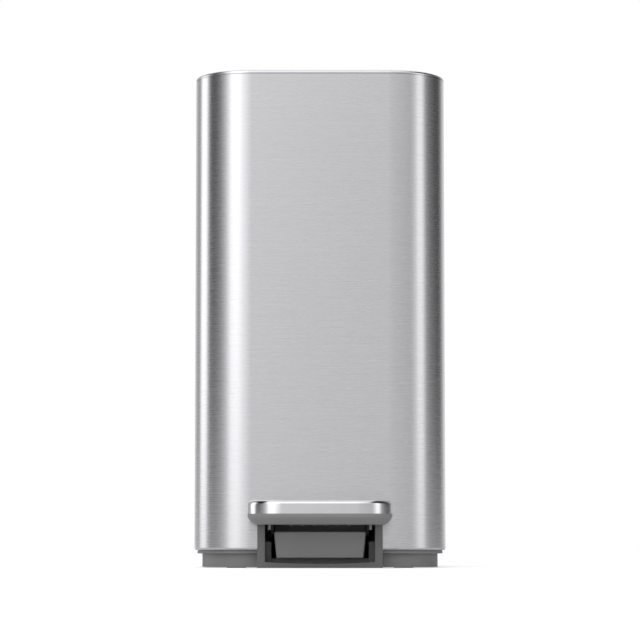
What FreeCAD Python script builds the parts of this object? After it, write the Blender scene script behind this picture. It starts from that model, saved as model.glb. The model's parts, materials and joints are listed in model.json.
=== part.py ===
"""Slim pedal bin, 20 litres: steel shell, plastic base, hinged steel lid, pedal lever, push rod and bucket.

Every piece is modelled about the shell's own vertical axis, with the front towards -Y, and is then placed so
that the frame's origin lies under the middle of the whole object. Sizes are millimetres.
"""
import FreeCAD, Part
import math
import os
import re

import Sketcher

# The driving dimensions: name, value and what it sets.
SIZES = [
    ("body_width", 254.0, "outside width of the steel shell"),
    ("body_depth", 305.0, "outside depth of the steel shell"),
    ("corner_radius", 58.0, "outside radius of the shell's upright corners"),
    ("sheet", 0.8, "thickness of the stainless sheet"),
    ("shell_bottom", 17.6, "underside of the shell's turned-in hem"),
    ("shell_top", 495.2, "top edge of the shell"),
    ("hem_radius", 2.5, "bend of the shell's bottom hem"),
    ("hem_width", 4.0, "how far the bottom hem turns in"),
    ("pedal_reach", 51.0, "pedal's front edge in front of the shell"),
    ("hinge_reach", 14.0, "hinge block's back behind the shell"),
    ("floor_gap", 0.8, "base skirt above the floor"),
    ("base_inset", 8.0, "base skirt inside the shell's outline"),
    ("lip_inset", 3.0, "base lip inside the shell's outline"),
    ("neck_inset", 4.8, "base neck inside the shell's outline"),
    ("lip_under", 14.3, "underside of the base lip"),
    ("lip_top", 16.8, "top of the base lip"),
    ("base_wall", 2.5, "wall of the base moulding"),
    ("rib_half", 45.5, "half the length of the rib under the deck"),
    ("deck_under", 54.0, "underside of the base deck"),
    ("deck_top", 56.5, "top of the base deck"),
    ("cover_under", 1.6, "underside of the bottom cover"),
    ("cover_top", 3.8, "top of the bottom cover"),
    ("foot_radius", 10.0, "rubber foot"),
    ("foot_recess", 0.8, "depth of each foot's seat in the cover"),
    ("screw_radius", 1.7, "shank of the self-tapping screws"),
    ("head_radius", 3.6, "head of the self-tapping screws"),
    ("head_height", 1.8, "height of a screw head"),
    ("frame_half", 62.0, "half the width of the pedal frame"),
    ("opening_half", 54.5, "half the width of the frame's opening"),
    ("frame_reach", 7.0, "pedal frame in front of the shell"),
    ("frame_under", 0.2, "underside of the frame's sill"),
    ("frame_top", 55.0, "top of the pedal frame"),
    ("opening_top", 50.0, "top of the frame's opening"),
    ("sill_top", 5.9, "sill at its ends"),
    ("sill_dip", 1.8, "how far the sill dips in the middle"),
    ("sleeve_wall", 3.0, "wall of the frame's sleeve"),
    ("sleeve_back", 14.5, "sleeve's back edge behind the shell's face"),
    ("web_top", 26.0, "top of the webs between the sleeve and the lever arms"),
    ("notch_gap", 0.5, "gap between the sleeve and the notch around it"),
    ("guard_low_half", 43.2, "half width of the guard's bottom edge"),
    ("guard_high_half", 45.7, "half width of the guard's top edge"),
    ("guard_under", 9.8, "underside of the guard"),
    ("guard_top", 36.0, "top of the guard"),
    ("guard_setback", 2.0, "guard's face behind the shell's face"),
    ("guard_wall", 2.8, "wall of the guard"),
    ("pedal_half", 71.3, "half the width of the pedal"),
    ("pedal_gap", 9.0, "pedal's back edge in front of the shell"),
    ("pedal_radius", 34.0, "plan radius of the pedal's front corners"),
    ("pedal_top", 66.5, "top of the pedal's steel plate"),
    ("plate_under", 53.2, "bottom edge of the pedal's steel plate"),
    ("tray_under", 42.6, "bottom edge of the pedal's tray"),
    ("tray_bevel", 7.0, "bevel under the tray's front and sides"),
    ("tray_round", 5.0, "rounding of both edges of that bevel"),
    ("tray_wall", 2.4, "wall of the tray"),
    ("rib_pitch", 11.35, "spacing of the ribs under the tray"),
    ("rib_wall", 1.4, "thickness of a rib"),
    ("rib_drop", 1.3, "ribs below the tray's edge"),
    ("plate_round", 4.6, "rounding of the pedal plate's top edge"),
    ("edge_round", 2.6, "rounding of the lid's top edge"),
    ("pivot_back", 115.0, "pedal axle behind the shell's face"),
    ("pivot_height", 34.0, "pedal axle above the floor"),
    ("pedal_swing", 9.5, "pedal's turn from rest to fully pressed, degrees"),
    ("axle_radius", 4.0, "pedal axle and cross bar"),
    ("arm_inner", 46.1, "inner face of each lever arm"),
    ("arm_wall", 2.0, "thickness of a lever arm"),
    ("arm_screw_height", 53.0, "screws that hold the arms in the pedal, above the floor"),
    ("running_gap", 0.08, "radial clearance of turning and sliding fits"),
    ("bush_radius", 6.5, "outside of the nylon bushes"),
    ("turret_top", 68.0, "top of the turret that the rod's foot rises into"),
    ("bracket_inner", 51.0, "inner face of each axle bracket"),
    ("bracket_wall", 6.5, "thickness of an axle bracket"),
    ("rod_inset", 17.5, "push rod in front of the shell's back"),
    ("rod_radius", 2.5, "push rod"),
    ("hinge_out", 7.0, "hinge axis behind the shell"),
    ("hinge_height", 486.0, "hinge axis above the floor"),
    ("hinge_pin_radius", 2.5, "hinge pin"),
    ("lid_swing", 80.0, "lid's turn from closed to open, degrees"),
    ("hinge_screw_apart", 33.0, "hinge screws from the middle"),
    ("hinge_screw_height", 458.0, "hinge screws above the floor"),
    ("ear_near", 28.0, "inner face of each hinge ear"),
    ("ear_far", 38.0, "outer face of each hinge ear"),
    ("knuckle_half", 26.0, "half the length of the strap's knuckle"),
    ("crank_pin_radius", 2.0, "pin of the lid's crank"),
    ("yoke_play", 0.75, "room above and below the crank pin in its yoke"),
    ("lid_gap", 0.35, "gap between shell and lid"),
    ("lid_top", 499.2, "top of the lid"),
    ("collar_gap", 0.2, "clearance between shell and collar"),
    ("mouth_inset", 8.0, "collar's mouth inside the shell's outline, front and sides"),
    ("mouth_back", 30.0, "collar's mouth in front of the shell's back"),
    ("ledge_width", 5.0, "ledge that carries the bucket's rim"),
    ("ledge_top", 475.0, "top of the bucket ledge"),
    ("collar_under", 472.0, "underside of the collar"),
    ("collar_wall", 2.2, "wall of the collar"),
    ("bucket_under", 60.0, "underside of the bucket"),
    ("bucket_wall", 2.2, "wall of the bucket"),
    ("bucket_taper", 6.0, "how far each wall leans in towards the bottom"),
    ("bucket_gap", 0.7, "gap between the bucket's rim and the collar"),
]
NAMES = sorted((name for name, _, _ in SIZES), key=len, reverse=True)
VALUES = {name: value for name, value, _ in SIZES}
ALIAS = re.compile(r"\b(" + "|".join(NAMES) + r")\b")

# Places that several pieces share, written as expressions of the sheet's cells.
FACE = "(-body_depth / 2)"
BACK = "(body_depth / 2)"
PIVOT_Y = f"({FACE} + pivot_back)"
ROD_Y = f"({BACK} - rod_inset)"
HINGE_Y = f"({BACK} + hinge_out)"
ARM_REACH = f"({ROD_Y} - {PIVOT_Y})"
BAR_Z = f"(pivot_height - {ARM_REACH} * tan(pedal_swing * 1deg / 2))"
ROD_TRAVEL = f"(2 * {ARM_REACH} * tan(pedal_swing * 1deg / 2))"
CRANK = f"({ROD_TRAVEL} / (2 * sin(lid_swing * 1deg / 2)))"
CRANK_Y = f"({HINGE_Y} - {CRANK} * cos(lid_swing * 1deg / 2))"
CRANK_Z = f"(hinge_height - {ROD_TRAVEL} / 2)"
MOUTH_Y = "((mouth_inset - mouth_back) / 2)"
MOUTH = ("body_width - 2 * mouth_inset", "body_depth - mouth_inset - mouth_back",
         "corner_radius - mouth_inset")
LID_UNDER = "(shell_top + lid_gap)"
FRONT_Y = f"({FACE} - frame_reach)"
PEDAL_FRONT = f"({FACE} - pedal_reach)"
PEDAL_BACK = f"({FACE} - pedal_gap)"

doc = FreeCAD.newDocument("pedal_bin")
sheet = doc.addObject("Spreadsheet::Sheet", "sizes")
for row, (name, value, note) in enumerate(SIZES, start=1):
    sheet.set(f"A{row}", name)
    sheet.set(f"B{row}", str(value))
    sheet.set(f"C{row}", note)
    sheet.setAlias(f"B{row}", name)
doc.recompute()


def bound(expression):
    """The expression with every cell name written as FreeCAD refers to it."""
    return ALIAS.sub(r"<<sizes>>.\1", str(expression))


def number(expression):
    """The expression's value, for a first position or a choice of edges."""
    words = {**VALUES, "deg": math.pi / 180, "tan": math.tan, "sin": math.sin, "cos": math.cos}
    value = _parse(re.sub(r"1deg", "deg", str(expression)), words)
    return float(value)


def _parse(text, words):
    """Works out sums, products, brackets and the three angle functions, without running code."""
    tokens = re.findall(r"\d+\.?\d*|[A-Za-z_]+|[-+*/()]", text)

    def factor():
        token = tokens.pop(0)
        if token == "-":
            return -factor()
        if token == "(":
            value = total()
            tokens.pop(0)
            return value
        known = words.get(token)
        if callable(known):
            return known(factor())
        return known if known is not None else float(token)

    def product():
        value = factor()
        while tokens and tokens[0] in "*/":
            value = value * factor() if tokens.pop(0) == "*" else value / factor()
        return value

    def total():
        value = product()
        while tokens and tokens[0] in "+-":
            value = value + product() if tokens.pop(0) == "+" else value - product()
        return value

    return total()


class Piece:
    """One sub-part: a PartDesign body whose features take their sizes from the sheet."""

    made = []

    def __init__(self, label):
        self.body = doc.addObject("PartDesign::Body", label)
        self.body.Label = label
        self.body.setExpression(".Placement.Base.y", bound("(pedal_reach - hinge_reach) / 2"))
        self.count = 0
        Piece.made.append(self)

    def _feature(self, kind):
        self.count += 1
        return self.body.newObject(kind, f"{self.body.Label}_{kind.split('::')[1]}_{self.count}")

    def _attach(self, feature, plane, offset):
        origin = [f for f in self.body.Origin.OriginFeatures if f.Role == plane][0]
        feature.AttachmentSupport = [(origin, "")]
        feature.MapMode = "FlatFace"
        for axis, place in zip("xyz", offset):
            feature.setExpression(f".AttachmentOffset.Base.{axis}", bound(place))

    def sketch(self, plane, start):
        """An empty sketch on one of the body's planes, moved along the plane's normal."""
        sketch = self._feature("Sketcher::SketchObject")
        self._attach(sketch, plane, ("0", "0", start))
        return sketch

    def extrude(self, sketch, length, cut):
        """Pads a sketch along its normal, or pockets it the same way."""
        feature = self._feature("PartDesign::Pocket" if cut else "PartDesign::Pad")
        feature.Profile = sketch
        if cut:
            feature.Reversed = True
        feature.setExpression("Length", bound(length))
        doc.recompute()
        return feature

    def slab(self, outlines, low, high, cut=False):
        """A level slab. Each outline is (width, depth, radius, middle y), and a second one is a hole."""
        sketch = self.sketch("XY_Plane", low)
        for outline in outlines:
            rounded_outline(sketch, *outline)
        return self.extrude(sketch, f"({high}) - ({low})", cut)

    def polygon(self, plane, points, start, length, cut=False):
        """A flat plate: its outline on the XZ or YZ plane, starting at a place along the plane's normal."""
        sketch = self.sketch(plane, start)
        polygon_outline(sketch, points)
        return self.extrude(sketch, length, cut)

    def box(self, x, y, z, cut=False):
        """A box between the low and high places along each axis."""
        feature = self._feature("PartDesign::SubtractiveBox" if cut else "PartDesign::AdditiveBox")
        self._attach(feature, "XY_Plane", (x[0], y[0], z[0]))
        for side, (low, high) in zip(("Length", "Width", "Height"), (x, y, z)):
            feature.setExpression(side, bound(f"({high}) - ({low})"))
        doc.recompute()
        return feature

    def cylinder(self, axis, centre, radius, low, high, cut=False):
        """A cylinder along an axis, from low to high on it; centre holds the other two coordinates."""
        feature = self._feature("PartDesign::SubtractiveCylinder" if cut else "PartDesign::AdditiveCylinder")
        first, second = centre
        place = {"X": (low, first, second), "Y": (first, low, second), "Z": (first, second, low)}[axis]
        self._attach(feature, "XY_Plane", place)
        turn = {"X": ((0, 1, 0), 90), "Y": ((1, 0, 0), -90), "Z": ((0, 0, 1), 0)}[axis]
        offset = feature.AttachmentOffset
        offset.Rotation = FreeCAD.Rotation(FreeCAD.Vector(*turn[0]), turn[1])
        feature.AttachmentOffset = offset
        feature.setExpression("Radius", bound(radius))
        feature.setExpression("Height", bound(f"({high}) - ({low})"))
        doc.recompute()
        return feature

    def screw(self, axis, centre, head_low, tip, head_radius="head_radius", radius="screw_radius"):
        """A pan-head screw whose head starts at head_low and whose shank ends at tip, along an axis."""
        self.cylinder(axis, centre, head_radius, head_low, f"{head_low} + head_height")
        self.cylinder(axis, centre, radius, f"{head_low} + head_height", tip)

    def fillet(self, radius, chosen):
        """Rounds the edges of the body so far for which chosen(edge) is true."""
        self._dress("PartDesign::Fillet", "Radius", radius, chosen)

    def chamfer(self, size, chosen):
        """Bevels the edges of the body so far for which chosen(edge) is true."""
        self._dress("PartDesign::Chamfer", "Size", size, chosen)

    def _dress(self, kind, name, size, chosen):
        base = self.body.Tip
        edges = [f"Edge{n}" for n, edge in enumerate(base.Shape.Edges, start=1) if chosen(edge)]
        feature = self._feature(kind)
        feature.Base = (base, edges)
        feature.setExpression(name, bound(size))
        doc.recompute()

    def hollow(self, wall, opened):
        """Hollows the body so far to a wall, leaving open the faces for which opened(face) is true."""
        base = self.body.Tip
        faces = [f"Face{n}" for n, face in enumerate(base.Shape.Faces, start=1) if opened(face)]
        feature = self._feature("PartDesign::Thickness")
        feature.Base = (base, faces)
        feature.setExpression("Value", bound(wall))
        feature.Reversed = True
        feature.Join = 0
        doc.recompute()

    def loft(self, sections, cut=False):
        """A loft through level outlines, each (height, function that draws the outline, its values)."""
        sketches = []
        for height, draw, values in sections:
            sketch = self.sketch("XY_Plane", height)
            draw(sketch, *values)
            sketches.append(sketch)
        doc.recompute()
        feature = self._feature("PartDesign::SubtractiveLoft" if cut else "PartDesign::AdditiveLoft")
        feature.Profile = sketches[0]
        feature.Sections = sketches[1:]
        doc.recompute()


def pin_down(sketch, geometry, point, x, y):
    """Binds one point of a sketch to two expressions."""
    for kind, place in (("DistanceX", x), ("DistanceY", y)):
        index = sketch.addConstraint(Sketcher.Constraint(kind, -1, 1, geometry, point, number(place)))
        sketch.setExpression(f"Constraints[{index}]", bound(place))


def rounded_outline(sketch, width, depth, radius, middle_y="0"):
    """A rectangle with rounded corners: four arcs bound to the cells, joined by tangent lines."""
    half_w, half_d, r = number(width) / 2, number(depth) / 2, number(radius)
    mid = number(middle_y)
    first = sketch.GeometryCount
    corners = [(1, -1, -90), (1, 1, 0), (-1, 1, 90), (-1, -1, 180)]
    arcs = []
    for side_x, side_y, start in corners:
        centre = FreeCAD.Vector(side_x * (half_w - r), mid + side_y * (half_d - r), 0)
        circle = Part.Circle(centre, FreeCAD.Vector(0, 0, 1), r)
        arcs.append(Part.ArcOfCircle(circle, math.radians(start), math.radians(start + 90)))
    join_arcs(sketch, arcs)
    for n, (side_x, side_y, _) in enumerate(corners):
        index = sketch.addConstraint(Sketcher.Constraint("Radius", first + n, r))
        sketch.setExpression(f"Constraints[{index}]", bound(radius))
        across = f"(({width}) / 2 - ({radius})) * {side_x}"
        along = f"({middle_y}) + (({depth}) / 2 - ({radius})) * {side_y}"
        pin_down(sketch, first + n, 3, across, along)


def join_arcs(sketch, arcs):
    """Adds a ring of arcs and the straight lines between them, tangent at every join."""
    first = sketch.GeometryCount
    count = len(arcs)
    for arc in arcs:
        sketch.addGeometry(arc, False)
    for n, arc in enumerate(arcs):
        sketch.addGeometry(Part.LineSegment(arc.EndPoint, arcs[(n + 1) % count].StartPoint), False)
    for n in range(count):
        line, following = first + count + n, first + (n + 1) % count
        sketch.addConstraint(Sketcher.Constraint("Tangent", first + n, 2, line, 1))
        sketch.addConstraint(Sketcher.Constraint("Tangent", line, 2, following, 1))


def polygon_outline(sketch, points):
    """A closed outline of straight lines, each corner bound to its two expressions."""
    places = [FreeCAD.Vector(number(x), number(y), 0) for x, y in points]
    first = sketch.GeometryCount
    count = len(points)
    for n in range(count):
        sketch.addGeometry(Part.LineSegment(places[n], places[(n + 1) % count]), False)
    for n in range(count):
        sketch.addConstraint(Sketcher.Constraint("Coincident", first + n, 2, first + (n + 1) % count, 1))
    for n, (x, y) in enumerate(points):
        pin_down(sketch, first + n, 1, x, y)


def inset(amount, middle_y="0"):
    """The shell's outline taken in by an amount on every side."""
    width, depth = f"body_width - 2 * ({amount})", f"body_depth - 2 * ({amount})"
    return (width, depth, f"corner_radius - ({amount})", middle_y)


def mouth(amount):
    """The collar's mouth taken in by an amount on every side; a negative amount is wider."""
    width, depth, radius = MOUTH
    return (f"{width} - 2 * ({amount})", f"{depth} - 2 * ({amount})", f"{radius} - ({amount})", MOUTH_Y)


def level_at(height):
    """Chooses the edges that lie flat at a height."""
    z = number(height)
    return lambda edge: abs(edge.BoundBox.ZMin - z) < 1e-4 and abs(edge.BoundBox.ZMax - z) < 1e-4


def both_sides():
    """The two sides of the object, right and left."""
    return (1, -1)


def span(side, near, far):
    """The low and high x of something that lies between near and far on one side."""
    return (near, far) if side > 0 else (f"-({far})", f"-({near})")


# ---------------------------------------------------------------- shell, base and what stands still

def body_shell():
    """The steel wrapper: rounded box with no top, its bottom edge turned in, notched for the pedal frame."""
    piece = Piece("body_shell")
    piece.slab([inset("0")], "shell_bottom", "shell_top")
    piece.fillet("hem_radius", level_at("shell_bottom"))
    piece.hollow("sheet", lambda face: face.BoundBox.ZMin > number("shell_top") - 1e-4)
    piece.slab([inset("hem_width")], "shell_bottom - 1", "shell_bottom + 2 * sheet", cut=True)
    notch = "opening_half + sleeve_wall + notch_gap"
    high = "opening_top + sleeve_wall + notch_gap"
    piece.box((f"-({notch})", notch), (f"{FACE} - 5", f"{FACE} + 12"), ("0", high), cut=True)
    for side in both_sides():
        place = (f"hinge_screw_apart * {side}", "hinge_screw_height")
        piece.cylinder("Y", place, "screw_radius + 0.1", f"{BACK} - 3", f"{BACK} + 1", cut=True)


COVER_SCREWS = [(100, -108), (100, 8), (100, 112), (-100, -108), (-100, 8), (-100, 112)]


def base():
    """The plastic base: skirt, lip and neck in one moulding, closed above by the deck."""
    piece = Piece("base")
    inner = inset("base_inset + base_wall")
    piece.slab([inset("base_inset"), inner], "floor_gap", "lip_under")
    piece.slab([inset("lip_inset"), inner], "lip_under", "lip_top")
    piece.slab([inset("hem_width - 0.4"), inset("neck_inset + base_wall")], "lip_top", "shell_bottom")
    piece.slab([inset("neck_inset"), inset("neck_inset + base_wall")], "shell_bottom", "deck_under")
    piece.slab([inset("neck_inset")], "deck_under", "deck_top")
    for side in both_sides():
        piece.box(span(side, "bracket_inner", "bracket_inner + bracket_wall"),
                  (f"{PIVOT_Y} - 11", f"{PIVOT_Y} + 11"), ("22", "deck_under"))
    for x, y in COVER_SCREWS:
        piece.cylinder("Z", (x, y), "4.5", "cover_top", "deck_under")
    piece.box(("-rib_half", "rib_half"), (f"{FACE} + 40", f"{FACE} + 42.5"), ("30", "deck_under"))
    notch = "opening_half + sleeve_wall + notch_gap"
    high = "opening_top + sleeve_wall + notch_gap"
    piece.box((f"-({notch})", notch), (f"{FACE} - 5", f"{FACE} + 16"), ("-1", high), cut=True)
    for side in both_sides():
        piece.cylinder("X", (PIVOT_Y, "pivot_height"), "bush_radius",
                       *span(side, "bracket_inner - 1", "bracket_inner + bracket_wall + 1"), cut=True)
    for x, y in COVER_SCREWS:
        piece.cylinder("Z", (x, y), "screw_radius", "cover_top - 1", "22", cut=True)
    piece.box(("-9.5", "9.5"), (f"{ROD_Y} - 11", f"{ROD_Y} + 9.5"), ("deck_under", "turret_top"))
    inside = (f"{ROD_Y} - 8.5", f"{ROD_Y} + 7.5")
    piece.box(("-7", "7"), inside, ("deck_under - 1", "turret_top - 3"), cut=True)
    piece.cylinder("Z", ("0", ROD_Y), "5", "turret_top - 4", "turret_top + 1", cut=True)
    piece.fillet("0.8", lambda edge: level_at("lip_under")(edge) and outermost(edge, "lip_inset"))
    piece.fillet("0.4", lambda edge: level_at("lip_top")(edge) and outermost(edge, "lip_inset"))


def outermost(edge, amount):
    """True for an edge that lies on the shell's outline taken in by an amount."""
    half_w = number("body_width") / 2 - number(amount)
    half_d = number("body_depth") / 2 - number(amount)
    box = edge.BoundBox
    on_side = max(abs(box.XMin), abs(box.XMax)) > half_w - 1e-3
    on_end = max(abs(box.YMin), abs(box.YMax)) > half_d - 1e-3
    return on_side or on_end


FEET = [(84, -108), (84, 108), (-84, -108), (-84, 108)]


def bottom_cover():
    """The plate that closes the base from below: a low upstand in front, seats for the feet and screws."""
    piece = Piece("bottom_cover")
    piece.slab([inset("base_inset + base_wall + 0.4")], "cover_under", "cover_top")
    upstand = (f"{FACE} + 19", f"{FACE} + 21.4")
    piece.box(("-opening_half", "opening_half"), upstand, ("cover_top - 0.5", "9.5"))
    for x, y in FEET:
        piece.cylinder("Z", (x, y), "foot_radius", "cover_under - 1", "cover_under + foot_recess", cut=True)
    for x, y in COVER_SCREWS:
        piece.cylinder("Z", (x, y), "screw_radius + 0.2", "cover_under - 1", "cover_top + 1", cut=True)
        piece.cylinder("Z", (x, y), "head_radius + 0.4", "cover_under - 1", "cover_under + 1.4", cut=True)


def rubber_feet():
    """Four stick-on rubber pads: the object stands on these."""
    piece = Piece("rubber_feet")
    for x, y in FEET:
        piece.cylinder("Z", (x, y), "foot_radius", "0", "cover_under + foot_recess")
    piece.fillet("0.5", level_at("0"))


def cover_screws():
    """Six screws that hold the bottom cover to the base's bosses."""
    piece = Piece("cover_screws")
    for x, y in COVER_SCREWS:
        piece.screw("Z", (x, y), "cover_under - 0.4", "16")


def pedal_frame():
    """The bezel round the pedal's opening: jambs, head and sill, with a sleeve through the notch."""
    piece = Piece("pedal_frame")
    hollow_round = "((opening_half * opening_half + sill_dip * sill_dip) / (2 * sill_dip))"
    piece.box(("-opening_half", "opening_half"), (FRONT_Y, f"{FACE} + 4"), ("frame_under", "sill_top"))
    piece.cylinder("Y", ("0", f"sill_top - sill_dip + {hollow_round}"), hollow_round,
                   f"{FRONT_Y} - 1", f"{FACE} + 5", cut=True)
    plate = (FRONT_Y, f"{FACE} - 0.1")
    sleeve = (f"{FACE} - 0.1", f"{FACE} + sleeve_back")
    for side in both_sides():
        piece.box(span(side, "opening_half", "frame_half"), plate, ("frame_under", "frame_top"))
        piece.box(span(side, "opening_half", "opening_half + sleeve_wall"), sleeve,
                  ("cover_top + 0.3", "opening_top + sleeve_wall"))
        piece.box(span(side, "opening_half", "frame_half"), (f"{FACE} - 0.1", f"{FACE} + base_inset - 0.1"),
                  ("frame_under", "lip_under - 0.1"))
        piece.box(span(side, "arm_inner + arm_wall + 0.5", "opening_half + 0.5"),
                  (f"{FACE} + sleeve_back - 2.5", f"{FACE} + sleeve_back"), ("cover_top + 0.3", "web_top"))
    piece.box(("-opening_half", "opening_half"), plate, ("opening_top", "frame_top"))
    piece.box(("-opening_half", "opening_half"), sleeve, ("opening_top", "opening_top + sleeve_wall"))
    face = number(FRONT_Y)
    half = number("frame_half")
    piece.fillet("0.8", lambda edge: abs(edge.BoundBox.YMax - face) < 1e-4 and (
        abs(abs(edge.BoundBox.XMin) - half) < 1e-4 or level_at("frame_top")(edge)))


def mechanism_guard():
    """The panel between the lever arms that hides the base's inside; it stands on the bottom cover."""
    piece = Piece("mechanism_guard")
    front = f"{FACE} + guard_setback"
    outline = [("-guard_low_half", "guard_under"), ("guard_low_half", "guard_under"),
               ("guard_high_half", "guard_top"), ("-guard_high_half", "guard_top")]
    piece.polygon("XZ_Plane", outline, f"-({front} + guard_wall)", "guard_wall")
    face = number(front)
    piece.fillet("1.6", lambda edge: edge.BoundBox.ZLength > 20 and edge.BoundBox.YMax < face + 1e-4)
    piece.fillet("1.2", lambda edge: edge.BoundBox.YMax < face + 1e-4)
    back = f"{front} + 28"
    piece.box(("-guard_high_half + 4", "guard_high_half - 4"), (f"{front} + guard_wall", back),
              ("guard_top - guard_wall", "guard_top - 0.4"))
    for side in both_sides():
        piece.box(span(side, "30", "36"), (f"{back} - 4", back), ("cover_top", "guard_top - 1"))


def axle_bushes():
    """Two nylon bushes that carry the pedal axle in the base's brackets."""
    piece = Piece("axle_bushes")
    for side in both_sides():
        piece.cylinder("X", (PIVOT_Y, "pivot_height"), "bush_radius",
                       *span(side, "bracket_inner", "bracket_inner + bracket_wall"))
        piece.cylinder("X", (PIVOT_Y, "pivot_height"), "bush_radius + 1.8",
                       *span(side, "bracket_inner - 1.2", "bracket_inner"))
    for side in both_sides():
        piece.cylinder("X", (PIVOT_Y, "pivot_height"), "axle_radius + running_gap",
                       *span(side, "bracket_inner - 2", "bracket_inner + bracket_wall + 1"), cut=True)


BUMPERS = [(70, -148.0), (-70, -148.0), (122.5, 45.0), (-122.5, 45.0)]


def collar():
    """The plastic ring in the shell's top: flange, walls and the ledge that carries the bucket."""
    piece = Piece("collar")
    outer = inset("sheet + collar_gap")
    flange_under = "shell_top - 0.2 - collar_wall"
    piece.slab([outer, mouth("0")], flange_under, "shell_top - 0.2")
    piece.slab([outer, inset("sheet + collar_gap + collar_wall")], "collar_under + 6", flange_under)
    piece.slab([mouth("-collar_wall"), mouth("0")], "collar_under", flange_under)
    piece.slab([mouth("-0.5"), mouth("ledge_width")], "collar_under", "ledge_top")
    piece.box(("-13", "13"), (f"{BACK} - mouth_back + collar_wall", f"{BACK} - 2.5"),
              ("collar_under - 1", "shell_top + 1"), cut=True)
    for x, y in BUMPERS:
        piece.cylinder("Z", (x, y), "2.5", "shell_top - 1.2", "shell_top + 1", cut=True)


def lid_bumpers():
    """Four rubber buttons in the collar that the lid lands on."""
    piece = Piece("lid_bumpers")
    for x, y in BUMPERS:
        piece.cylinder("Z", (x, y), "2.5", "shell_top - 1.2", f"{LID_UNDER} - 0.05")


def rod_cover():
    """The channel on the inside of the back that keeps the bucket and bags off the rod."""
    piece = Piece("rod_cover")
    front = f"{BACK} - mouth_back - 1"
    piece.box(("-44", "44"), (front, f"{BACK} - sheet - 0.3"), ("deck_top", "collar_under - 3"))
    piece.box(("-42", "42"), (f"{front} + 2", f"{BACK} + 1"), ("deck_top - 1", "collar_under"), cut=True)
    first = number(front)
    piece.fillet("1.2", lambda edge: edge.BoundBox.ZLength > 300 and edge.BoundBox.YMax < first + 1e-3)


def rod_guide():
    """The upper guide: a plate across the channel with holes for the push rod."""
    piece = Piece("rod_guide")
    front = f"{BACK} - mouth_back + 1"
    piece.box(("-42", "42"), (front, f"{BACK} - sheet - 0.1"), ("430", "434"))
    piece.cylinder("Z", ("0", ROD_Y), "7", "424", "440")
    piece.cylinder("Z", ("0", ROD_Y), "rod_radius + running_gap", "420", "445", cut=True)


def rod_bush():
    """The lower guide: a flanged nylon bush in the top of the base's turret."""
    piece = Piece("rod_bush")
    piece.cylinder("Z", ("0", ROD_Y), "5", "turret_top - 3", "turret_top")
    piece.cylinder("Z", ("0", ROD_Y), "7", "turret_top", "turret_top + 2")
    bore = "rod_radius + running_gap"
    piece.cylinder("Z", ("0", ROD_Y), bore, "turret_top - 4", "turret_top + 3", cut=True)


def hinge_block():
    """The plastic block on the outside of the back: two ears for the hinge pin over a bumper."""
    piece = Piece("hinge_block")
    back = f"{BACK} + hinge_reach"
    profile = [(BACK, "434"), (f"{BACK} + 5", "434"), (back, "450"), (back, "472"),
               (f"{back} - 3", "476"), (BACK, "476")]
    piece.polygon("YZ_Plane", profile, "-42", "84")
    ear = [(BACK, "470"), (back, "470"), (back, "hinge_height"), (f"{HINGE_Y} + 4", "hinge_height + 6.5"),
           (f"{HINGE_Y} - 4", "hinge_height + 6.5"), (BACK, "hinge_height + 3")]
    for side in both_sides():
        piece.polygon("YZ_Plane", ear, span(side, "ear_near", "ear_far")[0], "ear_far - ear_near")
    piece.cylinder("X", (HINGE_Y, "hinge_height"), "hinge_pin_radius", "-45", "45", cut=True)
    for side in both_sides():
        place = (f"hinge_screw_apart * {side}", "hinge_screw_height")
        piece.cylinder("Y", place, "screw_radius", f"{BACK} - 1", f"{BACK} + 10", cut=True)
    piece.fillet("2.5", lambda edge: edge.BoundBox.XLength > 80 and edge.BoundBox.YMin > number(BACK) + 4
                 and edge.BoundBox.ZMax < 475)
    piece.fillet("1.5", lambda edge: abs(abs(edge.BoundBox.XMin) - 42) < 1e-3
                 and edge.BoundBox.XLength < 1e-3 and edge.BoundBox.YMax > number(BACK) + 0.5)


def hinge_screws():
    """Two screws from inside the shell into the hinge block."""
    piece = Piece("hinge_screws")
    for side in both_sides():
        place = (f"hinge_screw_apart * {side}", "hinge_screw_height")
        piece.screw("Y", place, f"{BACK} - sheet - head_height", f"{BACK} + 9")


def hinge_pin():
    """The steel pin that the lid turns on, held in the block's ears."""
    piece = Piece("hinge_pin")
    piece.cylinder("X", (HINGE_Y, "hinge_height"), "hinge_pin_radius", "-ear_far - 0.5", "ear_far + 0.5")
    piece.fillet("0.4", lambda edge: edge.BoundBox.XLength < 1e-4)


DAMPER_X = "26"


def damper_cylinder():
    """The soft-close damper's cylinder, closed above and bored for its rod below."""
    piece = Piece("damper_cylinder")
    piece.cylinder("Z", (DAMPER_X, ROD_Y), "8", "300", "380")
    piece.cylinder("Z", (DAMPER_X, ROD_Y), "6", "303", "377", cut=True)
    piece.cylinder("Z", (DAMPER_X, ROD_Y), "2 + running_gap", "299", "304", cut=True)
    piece.fillet("1", level_at("380"))


def damper_bracket():
    """The clamp that holds the damper's cylinder against the back wall."""
    piece = Piece("damper_bracket")
    piece.box((f"{DAMPER_X} - 12", f"{DAMPER_X} + 12"), (f"{ROD_Y} - 11", f"{BACK} - sheet - 0.1"),
              ("334", "350"))
    piece.cylinder("Z", (DAMPER_X, ROD_Y), "8", "333", "351", cut=True)


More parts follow.
